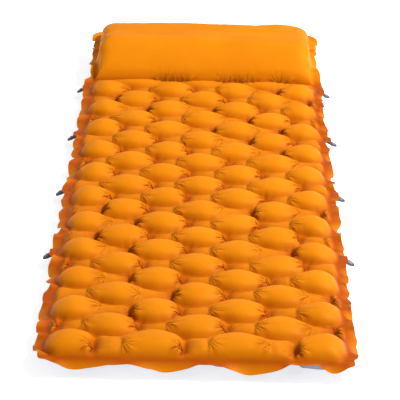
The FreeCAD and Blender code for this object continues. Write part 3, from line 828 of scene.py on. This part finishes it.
class Nodes:
    """Short names for the nodes of one material."""

    def __init__(self, name, roughness, **sockets):
        self.material = bpy.data.materials.new(name)
        self.material.use_nodes = True
        self.tree = self.material.node_tree
        self.shader = self.tree.nodes["Principled BSDF"]
        self.shader.inputs["Roughness"].default_value = roughness
        for socket, value in sockets.items():
            self.shader.inputs[socket.replace("_", " ")].default_value = value
        self.place = self.add("ShaderNodeTexCoord").outputs["Object"]

    def add(self, kind, **settings):
        node = self.tree.nodes.new(kind)
        for name, value in settings.items():
            setattr(node, name, value)
        return node

    def link(self, source, target):
        self.tree.links.new(source, target)

    def noise(self, scale, detail=3.0, stretch=None):
        node = self.add("ShaderNodeTexNoise")
        node.inputs["Scale"].default_value = scale
        node.inputs["Detail"].default_value = detail
        source = self.place
        if stretch is not None:
            mapping = self.add("ShaderNodeMapping")
            mapping.inputs["Scale"].default_value = stretch
            self.link(source, mapping.inputs["Vector"])
            source = mapping.outputs["Vector"]
        self.link(source, node.inputs["Vector"])
        return node.outputs["Fac"]

    def wave(self, pitch, direction):
        node = self.add("ShaderNodeTexWave", bands_direction=direction)
        node.inputs["Scale"].default_value = 2 * math.pi / (20.0 * pitch)
        self.link(self.place, node.inputs["Vector"])
        return node.outputs["Fac"]

    def ramp(self, source, stops):
        node = self.add("ShaderNodeValToRGB")
        ramp = node.color_ramp
        while len(ramp.elements) < len(stops):
            ramp.elements.new(0.5)
        for element, (place, colour) in zip(ramp.elements, stops):
            element.position = place
            element.color = (*colour, 1.0)
        self.link(source, node.inputs["Fac"])
        return node.outputs["Color"]

    def math(self, operation, first, second=None):
        node = self.add("ShaderNodeMath", operation=operation)
        for number, value in enumerate((first, second)):
            if value is None:
                continue
            if isinstance(value, (int, float)):
                node.inputs[number].default_value = value
            else:
                self.link(value, node.inputs[number])
        return node.outputs[0]

    def mix(self, factor, first, second, blend="MIX"):
        node = self.add("ShaderNodeMix", data_type="RGBA", blend_type=blend)
        for place, value in ((0, factor), (6, first), (7, second)):
            socket = node.inputs[place]
            if isinstance(value, (int, float)):
                socket.default_value = value
            elif isinstance(value, tuple):
                socket.default_value = (*value, 1.0)
            else:
                self.link(value, socket)
        return node.outputs[2]

    def attribute(self, name):
        return self.add("ShaderNodeAttribute", attribute_name=name).outputs["Fac"]

    def fan(self, rays):
        """Height of the fine creases round each pinch, and the mask of painted shade along their lines."""
        offset = self.add("ShaderNodeAttribute", attribute_name="fan").outputs["Vector"]
        parts = self.add("ShaderNodeSeparateXYZ")
        self.link(offset, parts.inputs[0])
        angle = self.math("ARCTAN2", parts.outputs["Y"], parts.outputs["X"])
        wobble = self.math("MULTIPLY", self.noise(70.0, 2.0), 2.5)
        turn = self.math("SINE", self.math("ADD", self.math("MULTIPLY", angle, rays), wobble))
        sharp = self.math("POWER", self.math("ABSOLUTE", turn), 0.5)
        # crease is high along the fold lines, where shade is painted
        crease = self.math("SUBTRACT", 1.0, sharp)
        near = parts.outputs["Z"]
        return self.math("MULTIPLY", sharp, near), self.math("MULTIPLY", crease, near)

    def bump(self, source, strength, distance, below=None):
        node = self.add("ShaderNodeBump")
        node.inputs["Strength"].default_value = strength
        node.inputs["Distance"].default_value = distance
        self.link(source, node.inputs["Height"])
        if below is not None:
            self.link(below, node.inputs["Normal"])
        return node.outputs["Normal"]

    def finish(self, colour, normal, roughness=None):
        self.link(colour, self.shader.inputs["Base Color"])
        self.link(normal, self.shader.inputs["Normal"])
        if roughness is not None:
            self.link(roughness, self.shader.inputs["Roughness"])
        return self.material


def coated_nylon(name, dark, middle, light, painted_shade, roughness, gloss, shine):
    """Woven nylon with a thin coating: fine yarns, faint slubs, soft sheen, and painted shade in its hollows and
    creases.
    """
    n = Nodes(name, roughness, Sheen_Weight=0.012, Sheen_Roughness=0.4, Sheen_Tint=(*gloss, 1.0), IOR=1.28,
              Specular_IOR_Level=shine, Specular_Tint=(*gloss, 1.0))
    warp = n.wave(0.0009, "X")
    weft = n.wave(0.0009, "Y")
    weave = n.math("MULTIPLY", warp, weft)
    slub = n.noise(260.0, 2.0, stretch=(1.0, 0.12, 1.0))
    cloud = n.noise(9.0, 4.0)
    colour = n.ramp(cloud, ((0.25, dark), (0.5, middle), (0.78, light)))
    colour = n.mix(n.math("MULTIPLY", slub, 0.22), colour, dark)
    colour = n.mix(n.math("MULTIPLY", weave, 0.16), colour, light)
    # Painted shade: the fabric's low places (valleys, folds and pinches) are mixed towards the shade colour.
    hollow = n.math("SUBTRACT", 1.0, n.attribute("rise"))
    hollow = n.math("MULTIPLY", n.math("POWER", n.math("MAXIMUM", hollow, 0.0), 3.0), 0.85)
    colour = n.mix(hollow, colour, painted_shade)
    # Painted shade along the fine crease lines round each pinch.
    height, crease = n.fan(9.0)
    colour = n.mix(n.math("MULTIPLY", crease, 0.8), colour, painted_shade)
    grain = n.bump(weave, 0.25, 0.0002)
    crumple = n.bump(n.noise(38.0, 4.0, stretch=(1.0, 0.6, 1.0)), 0.25, 0.0022, grain)
    creased = n.bump(height, 1.0, 0.0034, crumple)
    rough = n.math("ADD", n.math("MULTIPLY", n.noise(30.0, 3.0), 0.16), roughness - 0.08)
    return n.finish(colour, creased, rough)


def moulded(name, dark, light, roughness):
    """Moulded plastic or rubber with a fine texture and a faint cloudy tone."""
    n = Nodes(name, roughness, Specular_IOR_Level=0.45)
    cloud = n.noise(120.0, 4.0)
    colour = n.ramp(cloud, ((0.3, dark), (0.75, light)))
    fine = n.noise(2520.0, 2.0)
    rough = n.math("ADD", n.math("MULTIPLY", cloud, 0.18), roughness - 0.09)
    return n.finish(colour, n.bump(fine, 0.22, 0.00012), rough)


def make_materials():
    """One material for each of the record's slots."""
    made = {}
    # In each fabric the fourth colour is the painted shade of its hollows and creases.
    made["orange_fabric"] = coated_nylon(
        "orange_coated_nylon", (0.64, 0.183, 0.002), (0.69, 0.205, 0.003), (0.74, 0.229, 0.004),
        (0.32, 0.032, 0.001), 0.48, (1.0, 0.60, 0.11), 0.20)
    made["grey_fabric"] = coated_nylon(
        "grey_coated_nylon", (0.22, 0.22, 0.27), (0.27, 0.27, 0.32), (0.32, 0.32, 0.37),
        (0.20, 0.20, 0.245), 0.48, (1.0, 1.0, 1.0), 0.4)
    made["tab_fabric"] = coated_nylon(
        "tab_coated_nylon", (0.075, 0.07, 0.085), (0.10, 0.095, 0.115), (0.13, 0.125, 0.145),
        (0.08, 0.08, 0.10), 0.52, (1.0, 1.0, 1.0), 0.4)
    made["snap_plastic"] = moulded("snap_acetal", (0.17, 0.17, 0.20), (0.25, 0.25, 0.28), 0.32)
    made["valve_plastic"] = moulded("valve_firm", (0.022, 0.022, 0.026), (0.040, 0.040, 0.045), 0.46)
    made["valve_soft_plastic"] = moulded("valve_soft", (0.050, 0.050, 0.056), (0.078, 0.078, 0.084), 0.55)
    made["seal_rubber"] = moulded("silicone", (0.42, 0.42, 0.40), (0.52, 0.52, 0.50), 0.58)
    return made


def dress(pieces, materials):
    """Each piece and each shown CAD node gets its slot's material."""
    for piece in pieces:
        piece.data.materials.clear()
        piece.data.materials.append(materials[piece["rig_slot"]])
    slots = {s["node"]: s["material_slot"] for s in frame["record"]["subparts"]}
    for name, node in frame["nodes"].items():
        for slot in node.material_slots:
            slot.material = materials[slots[name]]


# ---- floor, light and camera ----

CAMERA_PLACE = (0.011, -4.29, 1.665)
CAMERA_TURN = (90 - 21.52, 0.16, 1.25)  # pitch, yaw and roll in degrees
CAMERA_LENS = 187.0


def make_floor():
    n = Nodes("studio_floor", 0.75, Emission_Color=(1, 1, 1, 1), Emission_Strength=0.62,
              Specular_IOR_Level=0.1)
    colour = n.ramp(n.noise(1.2, 2.0), ((0.3, (0.87, 0.87, 0.875)), (0.7, (0.90, 0.90, 0.905))))
    half = 14.0
    corners = [(-half, -half, 0), (half, -half, 0), (half, half, 0), (-half, half, 0)]
    floor = add_mesh("studio_floor", corners, [(0, 1, 2, 3)])
    floor.data.materials.append(n.finish(colour, n.bump(n.noise(300.0), 0.05, 0.0002)))


def add_area_light(name, place, aim, size, power):
    light = bpy.data.lights.new(name, "AREA")
    light.shape = "DISK"
    light.size = size
    light.energy = power
    lamp = bpy.data.objects.new(name, light)
    SCENE.collection.objects.link(lamp)
    lamp.location = place
    lamp.rotation_euler = (Vector(aim) - Vector(place)).to_track_quat("-Z", "Y").to_euler()


def make_light():
    add_area_light("key", (3.2, 0.3, 4.4), (0, -0.1, 0), 1.4, 415)
    add_area_light("fill", (-2.8, -2.6, 2.8), (0, -0.3, 0), 3.5, 12)
    world = bpy.data.worlds.new("studio")
    world.use_nodes = True
    background = world.node_tree.nodes["Background"]
    background.inputs["Color"].default_value = (1.0, 1.0, 1.0, 1.0)
    background.inputs["Strength"].default_value = 0.39
    SCENE.world = world
    SCENE.view_settings.view_transform = "Standard"


def make_camera():
    """The photograph's viewing angle: from beyond the foot end, a little above."""
    camera = bpy.data.cameras.new("camera")
    camera.sensor_width = 36.0
    camera.lens = CAMERA_LENS
    holder = bpy.data.objects.new("camera", camera)
    SCENE.collection.objects.link(holder)
    holder.location = CAMERA_PLACE
    pitch, yaw, roll = (math.radians(angle) for angle in CAMERA_TURN)
    turn = Matrix.Rotation(yaw, 4, "Z") @ Matrix.Rotation(pitch, 4, "X") @ Matrix.Rotation(roll, 4, "Z")
    holder.rotation_euler = turn.to_euler()
    SCENE.camera = holder


make_camera()
sheets = make_sheets()
tabs = make_tabs()
details = [make_tacks(), *make_webs()]
dress([*sheets, *tabs, *details], make_materials())
make_floor()
make_light()
